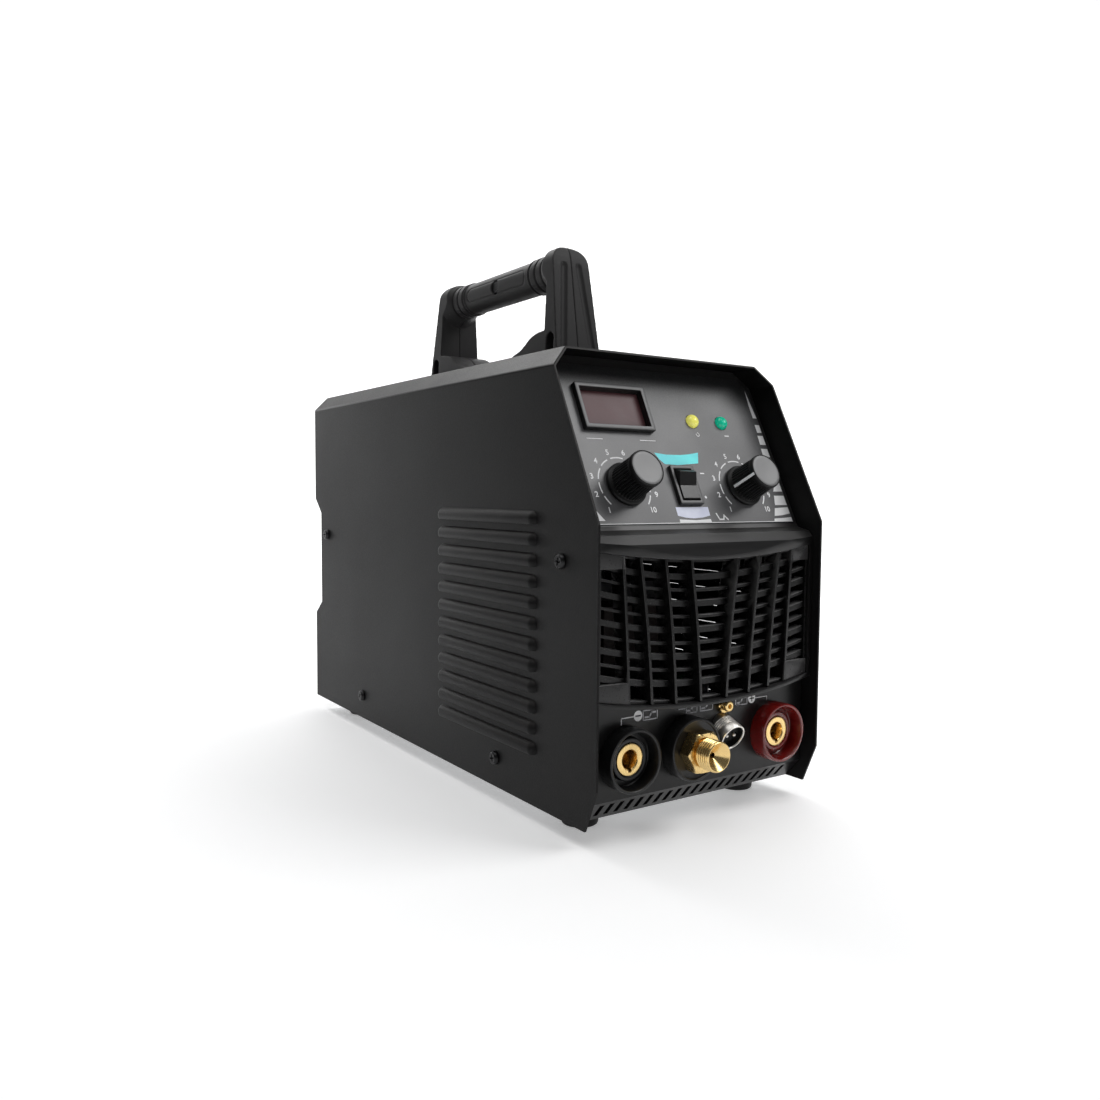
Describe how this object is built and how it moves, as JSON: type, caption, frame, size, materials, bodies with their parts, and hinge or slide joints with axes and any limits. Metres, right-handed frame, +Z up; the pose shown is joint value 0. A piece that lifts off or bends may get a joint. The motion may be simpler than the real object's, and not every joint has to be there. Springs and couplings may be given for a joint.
{
  "type": "tig welding machine",
  "caption": "Portable inverter TIG welder: louvred steel cover with carrying handle, sloping control panel, bowed air grille and front output sockets.",
  "frame": {"origin": "centre of the footprint on the floor plane under the rubber feet", "axes": "+Z up; the control panel faces -Y; +X is to the right when looking at the panel"},
  "size_m": [0.161, 0.4034, 0.3243],
  "materials": {
    "cover_coat": "satin fine-texture powder coat",
    "zinc_sheet": "zinc plated",
    "panel_moulding": "satin moulded",
    "grille_moulding": "satin moulded",
    "control_print": "printed, dark at the top fading to grey",
    "meter_frame": "gloss",
    "tinted_window": "tinted gloss",
    "circuit_board": "lacquered",
    "lamp_yellow": "gloss",
    "lamp_green": "gloss",
    "knob_plastic": "matte",
    "knob_cap_plastic": "satin",
    "steel": "machined",
    "switch_plastic": "semi-gloss",
    "collar_black": "satin",
    "collar_red": "translucent gloss",
    "brass": "machined",
    "nickel": "nickel plated",
    "insulator": "matte",
    "rubber_black": "matte",
    "screw_metal": "blackened",
    "handle_plastic": "fine texture",
    "extruded_aluminium": "extruded",
    "capacitor_sleeve": "gloss sleeve",
    "ferrite": "matte",
    "copper": "bare copper",
    "fan_plastic": "matte",
    "guard_wire": "plated wire",
    "hose_rubber": "matte"
  },
  "bodies": {
    "housing": {"top_cover": "cover_coat", "base_pan": "zinc_sheet", "front_bezel": "panel_moulding", "front_grille": "grille_moulding", "control_label": "control_print", "meter_bezel": "meter_frame", "meter_window": "tinted_window", "meter_board": "circuit_board", "overload_lamp": "lamp_yellow", "power_lamp": "lamp_green", "potentiometers": "steel", "mode_switch_frame": "switch_plastic", "mains_switch_frame": "switch_plastic", "negative_socket_shell": "collar_black", "negative_socket_contact": "brass", "positive_socket_shell": "collar_red", "positive_socket_contact": "brass", "busbars": "copper", "torch_boss": "collar_black", "torch_fitting": "brass", "trigger_socket_shell": "nickel", "trigger_socket_insert": "insulator", "trigger_socket_pins": "brass", "gas_outlet": "brass", "rear_panel": "panel_moulding", "fan_frame": "fan_plastic", "fan_guard": "guard_wire", "fan_screws": "steel", "cable_gland": "insulator", "gland_nuts": "insulator", "gas_inlet": "brass", "gas_valve": "nickel", "gas_hose": "hose_rubber", "earth_stud": "brass", "handle_left_half": "handle_plastic", "handle_right_half": "handle_plastic", "handle_screws": "screw_metal", "handle_clamp_screw": "screw_metal", "cover_screws": "screw_metal", "rubber_feet": "rubber_black", "foot_screws": "steel", "board_standoffs": "steel", "main_board": "circuit_board", "heat_sinks": "extruded_aluminium", "power_transistors": "insulator", "bus_capacitors": "capacitor_sleeve", "transformer_core": "ferrite", "transformer_winding": "copper", "output_choke": "copper", "start_coil": "copper", "control_board": "circuit_board"},
    "current_dial": {"current_knob": "knob_plastic", "current_knob_cap": "knob_cap_plastic", "current_shaft": "steel"},
    "gas_time_dial": {"gas_time_knob": "knob_plastic", "gas_time_knob_cap": "knob_cap_plastic", "gas_time_shaft": "steel"},
    "mode_lever": {"mode_rocker": "switch_plastic"},
    "mains_lever": {"mains_rocker": "switch_plastic"},
    "fan_wheel": {"fan_rotor": "fan_plastic"}
  },
  "joints": [
    {"name": "current_dial_turn", "type": "hinge", "parent": "housing", "child": "current_dial", "pos_m": [0.0414, -0.16037, 0.17574], "axis": [0, 0.8976, -0.4407], "range_deg": [-35, 235]},
    {"name": "gas_time_dial_turn", "type": "hinge", "parent": "housing", "child": "gas_time_dial", "pos_m": [-0.0414, -0.16037, 0.17574], "axis": [0, 0.8976, -0.4407], "range_deg": [-195, 75]},
    {"name": "mode_rocker_tilt", "type": "hinge", "parent": "housing", "child": "mode_lever", "pos_m": [-0.0008, -0.15943, 0.17539], "axis": [1, 0, 0], "range_deg": [-24, 0]},
    {"name": "mains_rocker_tilt", "type": "hinge", "parent": "housing", "child": "mains_lever", "pos_m": [0.038, 0.17295, 0.19], "axis": [1, 0, 0], "range_deg": [-24, 0]},
    {"name": "fan_spin", "type": "hinge", "parent": "housing", "child": "fan_wheel", "pos_m": [0, 0.15, 0.092], "axis": [0, 1, 0], "continuous": true}
  ]
}
